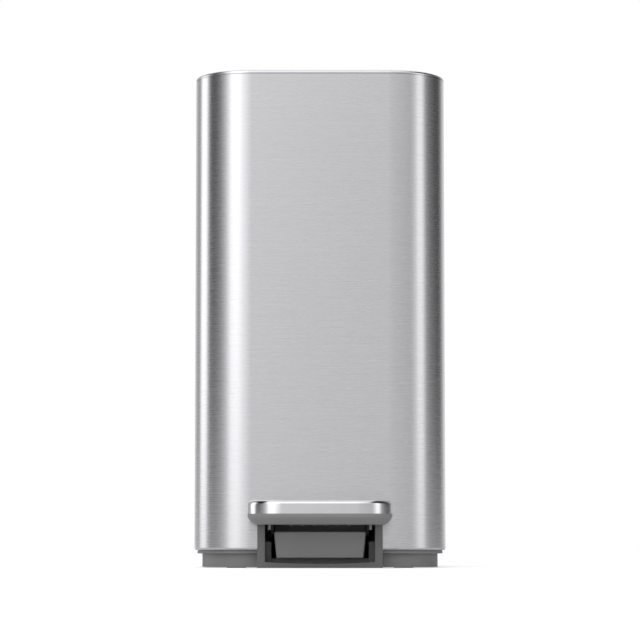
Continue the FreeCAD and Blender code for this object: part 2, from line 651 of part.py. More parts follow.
def bucket():
    """The lift-out bucket: tapered walls, a rim that hangs on the collar's ledge and two hand holes."""
    piece = Piece("bucket")
    inward = "ledge_width + bucket_gap + 0.3"
    lean = f"{inward} + bucket_taper"
    rim_top = "ledge_top + 3"
    piece.loft([("bucket_under", rounded_outline, mouth(lean)),
                ("ledge_top", rounded_outline, mouth(inward))])
    piece.fillet("4", level_at("bucket_under"))
    piece.slab([mouth("bucket_gap")], "ledge_top", rim_top)
    floor = "bucket_under + bucket_wall"
    low, high = mouth(f"{lean} + bucket_wall"), mouth(f"{inward} + bucket_wall")
    piece.loft([(floor, rounded_outline, low), (rim_top, rounded_outline, high)], cut=True)
    piece.box(("-200", "200"), (f"{MOUTH_Y} - 45", f"{MOUTH_Y} + 45"), ("440", "462"), cut=True)
    piece.fillet("8", lambda edge: edge.BoundBox.XLength < 4 and edge.BoundBox.YLength < 0.5
                 and edge.BoundBox.ZLength < 0.5 and 439 < edge.BoundBox.ZMin < 463)
    piece.fillet("0.8", lambda edge: level_at(rim_top)(edge))


# ---------------------------------------------------------------- lid

def lid_cover():
    """The lid's steel skin: a shallow cap with a rounded edge, slotted behind for the hinge strap."""
    piece = Piece("lid_cover")
    piece.slab([inset("0")], LID_UNDER, "lid_top")
    piece.fillet("edge_round", level_at("lid_top"))
    under = number(LID_UNDER)
    piece.hollow("sheet", lambda face: face.BoundBox.ZMax < under + 1e-4)
    slot = ("-knuckle_half - 0.8", "knuckle_half + 0.8")
    piece.box(slot, (f"{BACK} - 8", f"{BACK} + 1"), (f"{LID_UNDER} - 1", "lid_top - sheet"), cut=True)


def lid_liner():
    """The lid's plastic underside, with the ring that drops into the collar's mouth."""
    piece = Piece("lid_liner")
    piece.slab([inset("sheet + 1.9")], LID_UNDER, f"{LID_UNDER} + 2.4")
    piece.slab([mouth("2"), mouth("4.4")], f"{LID_UNDER} - 7", LID_UNDER)
    slot = ("-knuckle_half - 0.5", "knuckle_half + 0.5")
    piece.box(slot, (f"{BACK} - 45", f"{BACK} + 1"), (f"{LID_UNDER} - 1", f"{LID_UNDER} + 3"), cut=True)


RIVET_X, RIVET_Y = "8", f"({HINGE_Y} - 14.6)"


def hinge_strap():
    """The steel leaf under the lid's back edge, bent down to a knuckle on the hinge pin."""
    piece = Piece("hinge_strap")
    low, high = f"{LID_UNDER} + 0.2", "(lid_top - sheet)"
    leaf = [(f"{BACK} - 44", low), (f"{HINGE_Y} - 5", low), (f"{HINGE_Y} - 5", "hinge_height"),
            (f"{HINGE_Y} + 1", "hinge_height"), (f"{HINGE_Y} - 1.5", f"{high} - 2.5"),
            (f"{HINGE_Y} - 3", high), (f"{BACK} - 44", high)]
    piece.polygon("YZ_Plane", leaf, "-knuckle_half", "2 * knuckle_half")
    piece.cylinder("X", (HINGE_Y, "hinge_height"), "5", "-knuckle_half", "knuckle_half")
    bore = "hinge_pin_radius + running_gap"
    piece.cylinder("X", (HINGE_Y, "hinge_height"), bore, "-knuckle_half - 2", "knuckle_half + 2", cut=True)
    for side in both_sides():
        piece.cylinder("Z", (f"{RIVET_X} * {side}", RIVET_Y), "1.5", f"{low} - 1", f"{high} - 0.6", cut=True)


def lid_crank():
    """The bracket under the strap whose two lugs carry the crank pin."""
    piece = Piece("lid_crank")
    top = f"{LID_UNDER} + 0.2"
    plate_under = f"{top} - 2.6"
    piece.box(("-12", "12"), (f"{HINGE_Y} - 30", f"{HINGE_Y} - 12"), (plate_under, top))
    lug = [(f"{HINGE_Y} - 27", plate_under), (f"{HINGE_Y} - 17", plate_under),
           (f"{CRANK_Y} + 4.5", f"{CRANK_Z} + 2"), (f"{CRANK_Y} + 3", f"{CRANK_Z} - 4"),
           (f"{CRANK_Y} - 3", f"{CRANK_Z} - 4"), (f"{CRANK_Y} - 5", f"{CRANK_Z} + 2")]
    for side in both_sides():
        piece.polygon("YZ_Plane", lug, span(side, "6", "9")[0], "3")
    piece.cylinder("X", (CRANK_Y, CRANK_Z), "crank_pin_radius", "-20", "20", cut=True)
    for side in both_sides():
        place = (f"{RIVET_X} * {side}", RIVET_Y)
        piece.cylinder("Z", place, "1.5", f"{plate_under} - 1", f"{top} + 1", cut=True)


def crank_pin():
    """The pin between the crank's lugs, which runs in the upper yoke."""
    piece = Piece("crank_pin")
    piece.cylinder("X", (CRANK_Y, CRANK_Z), "crank_pin_radius", "-9.8", "9.8")


def crank_rivets():
    """Two rivets that join the crank to the strap."""
    piece = Piece("crank_rivets")
    under = f"{LID_UNDER} + 0.2 - 2.6"
    for side in both_sides():
        piece.cylinder("Z", (f"{RIVET_X} * {side}", RIVET_Y), "1.5", under, "lid_top - sheet - 0.6")
        piece.cylinder("Z", (f"{RIVET_X} * {side}", RIVET_Y), "2.4", f"{under} - 1", under)


# ---------------------------------------------------------------- push rod

def push_rod():
    """The steel rod between the lever's cross bar and the lid's crank."""
    piece = Piece("push_rod")
    piece.cylinder("Z", ("0", ROD_Y), "rod_radius", f"{BAR_Z} + 6", f"{CRANK_Z} - 5")


def lower_yoke():
    """The rod's foot, slotted for the cross bar, which drifts a little fore and aft as it rises."""
    piece = Piece("lower_yoke")
    piece.box(("-6", "6"), (f"{ROD_Y} - 6.6", f"{ROD_Y} + 6.4"), (f"{BAR_Z} - 7", f"{BAR_Z} + 13"))
    half = "axle_radius + running_gap"
    slot = (f"{BAR_Z} - ({half})", f"{BAR_Z} + {half}")
    piece.box(("-7", "7"), (f"{ROD_Y} - 1", f"{ROD_Y} + 1"), slot, cut=True)
    for drift in ("- 1", "+ 1"):
        piece.cylinder("X", (f"{ROD_Y} {drift}", BAR_Z), half, "-7", "7", cut=True)
    piece.cylinder("Z", ("0", ROD_Y), "rod_radius", f"{BAR_Z} + 6", f"{BAR_Z} + 14", cut=True)


def upper_yoke():
    """The rod's head, with the level slot that the crank pin slides along."""
    piece = Piece("upper_yoke")
    ahead, behind = f"{HINGE_Y} - {CRANK}", CRANK_Y
    half = "crank_pin_radius + yoke_play"
    piece.box(("-5", "5"), (f"{ahead} - 8", f"{behind} + 5"), (f"{CRANK_Z} - 11", f"{CRANK_Z} + 6.5"))
    piece.box(("-6", "6"), (ahead, behind), (f"{CRANK_Z} - ({half})", f"{CRANK_Z} + {half}"), cut=True)
    for end in (ahead, behind):
        piece.cylinder("X", (end, CRANK_Z), half, "-6", "6", cut=True)
    piece.cylinder("Z", ("0", ROD_Y), "rod_radius", f"{CRANK_Z} - 12", f"{CRANK_Z} - 5", cut=True)


def damper_bridge():
    """The arm clipped to the push rod that works the damper."""
    piece = Piece("damper_bridge")
    piece.box(("-7", f"{DAMPER_X} + 6"), (f"{ROD_Y} - 6", f"{ROD_Y} + 6"), ("262", "270"))
    piece.cylinder("Z", ("0", ROD_Y), "rod_radius", "261", "271", cut=True)
    piece.cylinder("Z", (DAMPER_X, ROD_Y), "2", "264", "271", cut=True)
    piece.fillet("2", lambda edge: edge.BoundBox.ZLength > 7 and edge.BoundBox.XLength < 1e-4
                 and edge.BoundBox.YLength < 1e-4)


def damper_piston():
    """The damper's rod and piston."""
    piece = Piece("damper_piston")
    piece.cylinder("Z", (DAMPER_X, ROD_Y), "2", "264", "308")
    piece.cylinder("Z", (DAMPER_X, ROD_Y), "5.9", "308", "315")


# ---------------------------------------------------------------- pedal and lever

def pedal_outline(sketch, amount):
    """The pedal's plan taken in by an amount: two round front corners and two square back ones."""
    front, back = f"{PEDAL_FRONT} + ({amount})", f"{PEDAL_BACK} - ({amount})"
    half, radius = f"pedal_half - ({amount})", f"pedal_radius - ({amount})"
    centre_x, centre_y = f"({half} - ({radius}))", f"{front} + ({radius})"
    x, y, r = number(half), number(back), number(radius)
    arcs = []
    for side, start in ((1, -90), (-1, 180)):
        centre = FreeCAD.Vector(side * number(centre_x), number(centre_y), 0)
        circle = Part.Circle(centre, FreeCAD.Vector(0, 0, 1), r)
        arcs.append(Part.ArcOfCircle(circle, math.radians(start), math.radians(start + 90)))
    right, left = arcs
    far_right, far_left = FreeCAD.Vector(x, y, 0), FreeCAD.Vector(-x, y, 0)
    first = sketch.GeometryCount
    outline = [right, Part.LineSegment(right.EndPoint, far_right), Part.LineSegment(far_right, far_left),
               Part.LineSegment(far_left, left.StartPoint), left,
               Part.LineSegment(left.EndPoint, right.StartPoint)]
    for part in outline:
        sketch.addGeometry(part, False)
    for n, kind in enumerate(("Tangent", "Coincident", "Coincident", "Tangent", "Tangent", "Tangent")):
        sketch.addConstraint(Sketcher.Constraint(kind, first + n, 2, first + (n + 1) % 6, 1))
    for arc, side in ((0, 1), (4, -1)):
        index = sketch.addConstraint(Sketcher.Constraint("Radius", first + arc, r))
        sketch.setExpression(f"Constraints[{index}]", bound(radius))
        pin_down(sketch, first + arc, 3, f"{centre_x} * {side}", centre_y)
    pin_down(sketch, first + 2, 1, half, back)
    pin_down(sketch, first + 2, 2, f"({half}) * -1", back)


def pedal_slab(piece, insets, low, high, cut=False):
    """A slab of the pedal's plan between two heights; a second inset makes it a band."""
    sketch = piece.sketch("XY_Plane", low)
    for amount in insets:
        pedal_outline(sketch, amount)
    piece.extrude(sketch, f"({high}) - ({low})", cut)


def pedal_plate():
    """The pressed steel cap that the foot lands on."""
    piece = Piece("pedal_plate")
    pedal_slab(piece, ["0"], "plate_under", "pedal_top")
    piece.fillet("plate_round", level_at("pedal_top"))
    under = number("plate_under")
    piece.hollow("sheet", lambda face: face.BoundBox.ZMax < under + 1e-4)


RIB_STEPS = [0.5, 1.5, 2.5]
ARM_SCREWS = ["(pedal_reach * 0.75)", "(pedal_reach * 0.42)"]


def pedal_tray():
    """The plastic body of the pedal: a cup, rounded below, with ribs under it and bosses for the arms."""
    piece = Piece("pedal_tray")
    pedal_slab(piece, ["0"], "tray_under", "plate_under")
    rear = number(PEDAL_BACK)
    piece.chamfer("tray_bevel", lambda edge: level_at("tray_under")(edge) and edge.BoundBox.YMin < rear - 1)
    bevelled = number("tray_under + tray_bevel")
    piece.fillet("tray_round", lambda edge: edge.BoundBox.ZLength < 1e-4 and edge.BoundBox.YMin < rear - 1
                 and edge.BoundBox.ZMax < bevelled + 1e-3)
    narrow, wide = ("tray_wall + 6.5",), ("tray_wall",)
    piece.loft([("tray_under + tray_wall", pedal_outline, narrow),
                ("tray_under + 8.5", pedal_outline, wide)], cut=True)
    pedal_slab(piece, ["tray_wall"], "tray_under + 8.5", "plate_under + 1", cut=True)
    rim_top = "pedal_top - sheet - plate_round + 0.4"
    pedal_slab(piece, ["sheet + 0.3", "sheet + 2.7"], "plate_under - 3", rim_top)
    for step in RIB_STEPS:
        for side in both_sides():
            middle = f"rib_pitch * {step * side}"
            piece.box((f"{middle} - rib_wall / 2", f"{middle} + rib_wall / 2"),
                      (f"{PEDAL_FRONT} + tray_bevel + 6", f"{PEDAL_BACK} - 1.5"),
                      ("tray_under - rib_drop", "tray_under + 1"))
    for side in both_sides():
        outside = ("arm_inner + arm_wall", "arm_inner + arm_wall + 3")
        for low, high in (("arm_inner - 4", "arm_inner"), outside):
            along = (f"{PEDAL_FRONT} + 14", f"{PEDAL_BACK} - 4")
            piece.box(span(side, low, high), along, ("tray_under + 1", "59.5"))
        piece.box(span(side, "arm_inner + arm_wall", "arm_inner + arm_wall + 3"),
                  (f"{PEDAL_BACK} - 9", f"{PEDAL_BACK} - 4"), ("tray_under - 5", "tray_under + 2"))
        piece.box(span(side, "arm_inner - 0.3", "arm_inner + arm_wall + 0.3"),
                  (f"{PEDAL_BACK} - 9", f"{PEDAL_BACK} + 1"), ("tray_under - 6", "58"), cut=True)
        for inward in ARM_SCREWS:
            piece.cylinder("X", (f"{FACE} - {inward}", "arm_screw_height"), "screw_radius",
                           *span(side, "arm_inner - 5", "arm_inner + arm_wall + 2.5"), cut=True)


def pedal_screws():
    """Four screws that clamp the lever arms between the tray's bosses."""
    piece = Piece("pedal_screws")
    for side in both_sides():
        for inward in ARM_SCREWS:
            place = (f"{FACE} - {inward}", "arm_screw_height")
            head = span(side, "arm_inner - 4 - head_height", "arm_inner - 4")
            shank = span(side, "arm_inner - 4", "arm_inner + arm_wall + 2.3")
            piece.cylinder("X", place, "head_radius", *head)
            piece.cylinder("X", place, "screw_radius", *shank)


def lever_arm(label, side):
    """One steel arm of the lever: pedal end, axle hole and the tail that carries the cross bar."""
    piece = Piece(label)
    outline = [(f"{PEDAL_FRONT} + 16", "tray_under + 4"), (f"{PEDAL_FRONT} + 16", "57.5"),
               (f"{PEDAL_BACK} - 5", "57.5"), (f"{FRONT_Y} - 1", "tray_under + 4.8"),
               (f"{PIVOT_Y} + 8", "pivot_height + 9"), (f"{ROD_Y} + 5", f"{BAR_Z} + 4"),
               (f"{ROD_Y} + 5.5", f"{BAR_Z} - 5.5"), (f"{PIVOT_Y} + 6", "pivot_height - 9"),
               (f"{FACE} + 2", "pivot_height - 1"), (f"{FRONT_Y} - 3", "tray_under - 1.5"),
               (f"{PEDAL_BACK} - 3.6", "tray_under + 4")]
    piece.polygon("YZ_Plane", outline, span(side, "arm_inner", "arm_inner + arm_wall")[0], "arm_wall")
    through = span(side, "arm_inner - 1", "arm_inner + arm_wall + 1")
    for place in ((PIVOT_Y, "pivot_height"), (ROD_Y, BAR_Z)):
        piece.cylinder("X", place, "axle_radius", *through, cut=True)
    for inward in ARM_SCREWS:
        piece.cylinder("X", (f"{FACE} - {inward}", "arm_screw_height"), "screw_radius", *through, cut=True)


def cross_bar():
    """The bar between the arms' tails, which lifts the rod's foot."""
    piece = Piece("cross_bar")
    end = "arm_inner + arm_wall"
    piece.cylinder("X", (ROD_Y, BAR_Z), "axle_radius", f"-({end})", end)


def pedal_axle():
    """The axle that the lever turns on."""
    piece = Piece("pedal_axle")
    end = "(bracket_inner + bracket_wall + 3.5)"
    piece.cylinder("X", (PIVOT_Y, "pivot_height"), "axle_radius", f"-{end}", end)
    piece.fillet("0.6", lambda edge: edge.BoundBox.XLength < 1e-4)


def axle_clips():
    """Two push-on clips that keep the axle in its bushes."""
    piece = Piece("axle_clips")
    wall = "bracket_inner + bracket_wall"
    for side in both_sides():
        piece.cylinder("X", (PIVOT_Y, "pivot_height"), "7", *span(side, f"{wall} + 0.7", f"{wall} + 1.7"))
    end = f"({wall} + 2.5)"
    piece.cylinder("X", (PIVOT_Y, "pivot_height"), "axle_radius", f"-{end}", end, cut=True)


def build():
    """Makes every piece."""
    for make in (body_shell, base, bottom_cover, rubber_feet, cover_screws, pedal_frame, mechanism_guard,
                 axle_bushes, collar, lid_bumpers, rod_cover, rod_guide, rod_bush, hinge_block, hinge_screws,
                 hinge_pin, damper_cylinder, damper_bracket, bucket, lid_cover, lid_liner, hinge_strap,
                 lid_crank, crank_pin, crank_rivets, push_rod, lower_yoke, upper_yoke, damper_bridge,
                 damper_piston, pedal_plate, pedal_tray, pedal_screws):
        make()
    lever_arm("lever_arm_right", 1)
    lever_arm("lever_arm_left", -1)
    cross_bar()
    pedal_axle()
    axle_clips()


def write():
    """Checks every object and sub-part, then writes each sub-part to its own STEP file."""
    doc.recompute()
    failed = [o.Name for o in doc.Objects if "Invalid" in o.State or "Error" in o.State]
    if failed:
        raise RuntimeError(f"these objects failed: {failed}")
    os.makedirs("parts", exist_ok=True)
    for piece in Piece.made:
        shape = piece.body.Shape
        if shape.isNull() or not shape.isValid() or not shape.Solids:
            raise RuntimeError(f"{piece.body.Label} has no valid solid")
    for piece in Piece.made:
        piece.body.Shape.exportStep(os.path.join("parts", f"{piece.body.Label}.step"))
        print(piece.body.Label, len(piece.body.Shape.Solids), round(piece.body.Shape.Volume, 1))


build()
write()
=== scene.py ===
"""Looks of a slim kitchen pedal bin: brushed steel skins over a plastic base, shown in a plain studio.

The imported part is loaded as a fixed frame. The visible steel skins are modelled again with finer corners, every
other node keeps its shape, and each gets a finish made of shader nodes.
"""

import json
import logging
import math
from dataclasses import dataclass, field
from enum import Enum
from typing import Any, Callable, Iterable, Sequence, Union

import bmesh
import bpy
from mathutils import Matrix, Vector

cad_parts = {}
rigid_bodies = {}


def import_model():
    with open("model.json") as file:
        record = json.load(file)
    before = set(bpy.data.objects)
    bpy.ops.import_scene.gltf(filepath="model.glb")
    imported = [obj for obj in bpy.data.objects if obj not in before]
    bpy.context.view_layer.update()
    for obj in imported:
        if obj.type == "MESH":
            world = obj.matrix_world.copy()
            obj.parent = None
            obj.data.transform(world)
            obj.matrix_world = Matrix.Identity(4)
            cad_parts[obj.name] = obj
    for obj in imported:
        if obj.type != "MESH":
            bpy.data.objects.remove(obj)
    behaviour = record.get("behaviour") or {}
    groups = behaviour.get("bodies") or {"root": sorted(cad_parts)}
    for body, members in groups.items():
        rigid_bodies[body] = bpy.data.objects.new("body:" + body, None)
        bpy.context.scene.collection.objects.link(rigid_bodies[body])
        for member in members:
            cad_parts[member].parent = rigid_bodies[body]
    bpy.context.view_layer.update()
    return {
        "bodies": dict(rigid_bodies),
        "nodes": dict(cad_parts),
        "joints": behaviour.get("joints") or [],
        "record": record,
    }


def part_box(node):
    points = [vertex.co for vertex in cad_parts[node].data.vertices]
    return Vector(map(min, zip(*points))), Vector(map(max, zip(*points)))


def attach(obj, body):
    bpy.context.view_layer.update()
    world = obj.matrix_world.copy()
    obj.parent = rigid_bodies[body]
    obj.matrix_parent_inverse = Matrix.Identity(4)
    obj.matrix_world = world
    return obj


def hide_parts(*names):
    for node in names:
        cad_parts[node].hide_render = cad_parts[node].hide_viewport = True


LOG = logging.getLogger("pedal_bin")
MM = 0.001
Colour = tuple[float, float, float]
Number = Union[float, "Signal"]


# ------------------------------------------------------------------------------------------------ shader nodes


class Signal:
    """A shader socket that takes part in sums like a number."""

    def __init__(self, graph: "Graph", socket: bpy.types.NodeSocket) -> None:
        """Wraps a socket.

        Args:
            graph: The node tree the socket belongs to.
            socket: The output that carries the value.
        """
        self.graph = graph
        self.socket = socket

    def _maths(self, operation: str, first: Number, second: Number) -> "Signal":
        """Adds one Math node and returns its result."""
        return self.graph.signal("ShaderNodeMath", {"operation": operation}, {0: first, 1: second})

    def __add__(self, other: Number) -> "Signal":
        """Returns self + other."""
        return self._maths("ADD", self, other)

    def __radd__(self, other: Number) -> "Signal":
        """Returns other + self."""
        return self._maths("ADD", other, self)

    def __sub__(self, other: Number) -> "Signal":
        """Returns self - other."""
        return self._maths("SUBTRACT", self, other)

    def __rsub__(self, other: Number) -> "Signal":
        """Returns other - self."""
        return self._maths("SUBTRACT", other, self)

    def __mul__(self, other: Number) -> "Signal":
        """Returns self * other."""
        return self._maths("MULTIPLY", self, other)

    def __rmul__(self, other: Number) -> "Signal":
        """Returns other * self."""
        return self._maths("MULTIPLY", other, self)

    def __truediv__(self, other: Number) -> "Signal":
        """Returns self / other."""
        return self._maths("DIVIDE", self, other)

    def __pow__(self, other: Number) -> "Signal":
        """Returns self raised to other."""
        return self._maths("POWER", self, other)

    def between(self, low: float, high: float) -> "Signal":
        """Returns 0 below low, 1 above high and a soft step between them.

        Args:
            low: Where the step starts.
            high: Where the step ends.

        Returns:
            The stepped value.
        """
        settings = {"interpolation_type": "SMOOTHSTEP"}
        return self.graph.signal("ShaderNodeMapRange", settings, {"Value": self, "From Min": low, "From Max": high})


class Graph:
    """A node tree that is filled in one call per node."""

    def __init__(self, tree: bpy.types.NodeTree) -> None:
        """Empties the tree.

        Args:
            tree: The node tree of a material or of the world.
        """
        self.tree = tree
        tree.nodes.clear()

    def node(self, kind: str, settings: dict[str, Any], values: dict[Union[str, int], Any]) -> bpy.types.Node:
        """Adds a node.

        Args:
            kind: The node's type.
            settings: What is set on the node itself; "stops" fills a colour ramp.
            values: A number, colour or link for each named or numbered input.

        Returns:
            The node.
        """
        made = self.tree.nodes.new(kind)
        for name, value in settings.items():
            if name == "stops":
                self._fill_ramp(made.color_ramp, value)
            else:
                setattr(made, name, value)
        for key, value in values.items():
            if isinstance(value, Signal):
                self.tree.links.new(value.socket, made.inputs[key])
            elif isinstance(value, bpy.types.NodeSocket):
                self.tree.links.new(value, made.inputs[key])
            else:
                made.inputs[key].default_value = value
        return made

    @staticmethod
    def _fill_ramp(ramp: bpy.types.ColorRamp, stops: Sequence[tuple[float, float]]) -> None:
        """Sets a grey ramp's stops."""
        while len(ramp.elements) > 1:
            ramp.elements.remove(ramp.elements[-1])
        for index, (place, level) in enumerate(stops):
            element = ramp.elements[0] if index == 0 else ramp.elements.new(place)
            element.position = place
            element.color = (level, level, level, 1.0)

    def signal(self, kind: str, settings: dict[str, Any], values: dict[Union[str, int], Any], out: Any = 0) -> Signal:
        """Adds a node and returns one of its outputs.

        Args:
            kind: The node's type.
            settings: What is set on the node itself.
            values: A number, colour or link for each input.
            out: The output's name or number.

        Returns:
            The output as a signal.
        """
        return Signal(self, self.node(kind, settings, values).outputs[out])

    def place(self, scale: Sequence[float]) -> Signal:
        """Returns the piece's own coordinates, stretched by a scale per axis."""
        origin = self.signal("ShaderNodeTexCoord", {}, {}, "Object")
        return self.signal("ShaderNodeMapping", {"vector_type": "POINT"}, {"Vector": origin, "Scale": tuple(scale)})

    def noise(self, scale: Sequence[float], detail: float = 3.0, roughness: float = 0.55) -> Signal:
        """Returns noise between about 0 and 1.

        Args:
            scale: Waves per metre along each axis.
            detail: Number of finer layers.
            roughness: Strength of the finer layers.

        Returns:
            The noise.
        """
        values = {"Vector": self.place(scale), "Scale": 1.0, "Detail": detail, "Roughness": roughness}
        return self.signal("ShaderNodeTexNoise", {}, values, 0)

    def tint(self, low: Colour, high: Colour, factor: Number) -> Signal:
        """Returns a colour between two colours."""
        values = {0: factor, 6: (*low, 1.0), 7: (*high, 1.0)}
        return self.signal("ShaderNodeMix", {"data_type": "RGBA"}, values, 2)

    def bump(self, height: Signal, distance: float, strength: float = 1.0) -> Signal:
        """Returns a normal disturbed by a height in metres."""
        return self.signal("ShaderNodeBump", {}, {"Height": height, "Distance": distance, "Strength": strength})


def scaled(colour: Colour, amount: float) -> Colour:
    """Returns a colour made lighter or darker."""
    return (colour[0] * amount, colour[1] * amount, colour[2] * amount)


# ------------------------------------------------------------------------------------------------ finishes


class Grain(Enum):
    """Which way a brushed surface's lines run."""

    LEVEL = (14.0, 14.0, 3400.0)
    ACROSS = (14.0, 3400.0, 3400.0)


@dataclass(frozen=True)
class BrushedSteel:
    """Stainless sheet with a long straight grain."""

    name: str
    colour: Colour
    grain: Grain
    roughness: float = 0.27
    anisotropy: float = 0.85
    rotation: float = 0.25
    contrast: float = 0.02
    depth: float = 0.0000015

    def material(self) -> bpy.types.Material:
        """Returns the finish as a material."""
        material = bpy.data.materials.new(self.name)
        material.use_nodes = True
        graph = Graph(material.node_tree)
        fine = graph.noise(self.grain.value, 2.0, 0.6)
        streak = graph.noise([value * 0.11 for value in self.grain.value], 2.0, 0.5)
        cloud = graph.noise((5.0, 5.0, 3.0), 2.0, 0.5)
        lines = fine * 0.65 + streak * 0.35
        mark = (lines - 0.5) * 3.0 * self.contrast + (cloud - 0.5) * 0.03 + 0.5
        colour = graph.tint(scaled(self.colour, 0.80), scaled(self.colour, 1.20), mark)
        shader = graph.node("ShaderNodeBsdfPrincipled", {}, {
            "Base Color": colour,
            "Metallic": 1.0,
            "Roughness": (lines - 0.5) * 0.14 + self.roughness,
            "Anisotropic": self.anisotropy,
            "Anisotropic Rotation": self.rotation,
            "Normal": graph.bump(fine, self.depth),
        })
        graph.node("ShaderNodeOutputMaterial", {}, {"Surface": shader.outputs[0]})
        return material


@dataclass(frozen=True)
class MouldedPlastic:
    """Moulded plastic with a fine spark-eroded grain."""

    name: str
    colour: Colour
    roughness: float = 0.48
    grain: float = 1500.0
    depth: float = 0.000035
    metallic: float = 0.0

    def material(self) -> bpy.types.Material:
        """Returns the finish as a material."""
        material = bpy.data.materials.new(self.name)
        material.use_nodes = True
        graph = Graph(material.node_tree)
        fine = graph.noise((self.grain,) * 3, 2.0, 0.6)
        flow = graph.noise((9.0, 9.0, 22.0), 3.0, 0.5)
        mark = (fine - 0.5) * 0.5 + (flow - 0.5) * 0.6 + 0.5
        shader = graph.node("ShaderNodeBsdfPrincipled", {}, {
            "Base Color": graph.tint(scaled(self.colour, 0.86), scaled(self.colour, 1.14), mark),
            "Metallic": self.metallic,
            "Roughness": (flow - 0.5) * 0.16 + (fine - 0.5) * 0.12 + self.roughness,
            "Normal": graph.bump(fine, self.depth),
        })
        graph.node("ShaderNodeOutputMaterial", {}, {"Surface": shader.outputs[0]})
        return material


@dataclass(frozen=True)
class PlatedSteel:
    """Zinc-plated or drawn steel of the mechanism, with fine die lines."""

    name: str
    colour: Colour
    roughness: float = 0.34
    lines: tuple[float, float, float] = (40.0, 40.0, 1500.0)

    def material(self) -> bpy.types.Material:
        """Returns the finish as a material."""
        material = bpy.data.materials.new(self.name)
        material.use_nodes = True
        graph = Graph(material.node_tree)
        fine = graph.noise(self.lines, 2.0, 0.6)
        bloom = graph.noise((70.0, 70.0, 70.0), 4.0, 0.6)
        mark = (fine - 0.5) * 0.5 + (bloom - 0.5) * 1.1 + 0.5
        shader = graph.node("ShaderNodeBsdfPrincipled", {}, {
            "Base Color": graph.tint(scaled(self.colour, 0.80), scaled(self.colour, 1.18), mark),
            "Metallic": 1.0,
            "Roughness": (bloom - 0.5) * 0.30 + self.roughness,
            "Normal": graph.bump(fine, 0.00001),
        })
        graph.node("ShaderNodeOutputMaterial", {}, {"Surface": shader.outputs[0]})
        return material


FINISHES: dict[str, Any] = {
    "shell_steel": BrushedSteel("shell_steel", (0.68, 0.677, 0.697), Grain.LEVEL),
    "lid_steel": BrushedSteel("lid_steel", (0.70, 0.697, 0.717), Grain.ACROSS, anisotropy=0.0, depth=0.000012),
    "pedal_steel": BrushedSteel(
        "pedal_steel", (0.76, 0.757, 0.772), Grain.ACROSS, roughness=0.17, anisotropy=0.0, depth=0.00001,
    ),
    "base_plastic": MouldedPlastic("base_plastic", (0.225, 0.225, 0.229)),
    "frame_plastic": MouldedPlastic("frame_plastic", (0.16, 0.16, 0.163)),
    # Painted light: the guard is the base's plastic, set lighter to make up for the shade it sits in under the pedal.
    "guard_plastic": MouldedPlastic("guard_plastic", (0.30, 0.30, 0.305)),
    "tray_plastic": MouldedPlastic("tray_plastic", (0.255, 0.255, 0.26)),
    "collar_plastic": MouldedPlastic("collar_plastic", (0.09, 0.09, 0.092)),
    "hinge_plastic": MouldedPlastic("hinge_plastic", (0.05, 0.05, 0.052)),
    "bucket_plastic": MouldedPlastic("bucket_plastic", (0.08, 0.08, 0.083), roughness=0.40, grain=900.0),
    "nylon": MouldedPlastic("nylon", (0.70, 0.68, 0.62), roughness=0.36, grain=700.0),
    "rubber": MouldedPlastic("rubber", (0.025, 0.025, 0.026), roughness=0.78, grain=1100.0),
    # The lever arms get a near-black colour, as dark as the slots they stand in.
    "painted_steel": MouldedPlastic("painted_steel", (0.03, 0.03, 0.031), roughness=0.42, grain=800.0),
    "zinc_steel": PlatedSteel("zinc_steel", (0.56, 0.57, 0.58)),
    "bright_steel": PlatedSteel("bright_steel", (0.66, 0.66, 0.66), roughness=0.22),
}


class Paint:
    """Makes each finish once and hands it out by the name of its material slot."""

    def __init__(self) -> None:
        """Starts with no finish made."""
        self.made: dict[str, bpy.types.Material] = {}

    def of(self, slot: str) -> bpy.types.Material:
        """Returns the material of a slot."""
        if slot not in self.made:
            self.made[slot] = FINISHES[slot].material()
        return self.made[slot]


# ------------------------------------------------------------------------------------------------ modelling


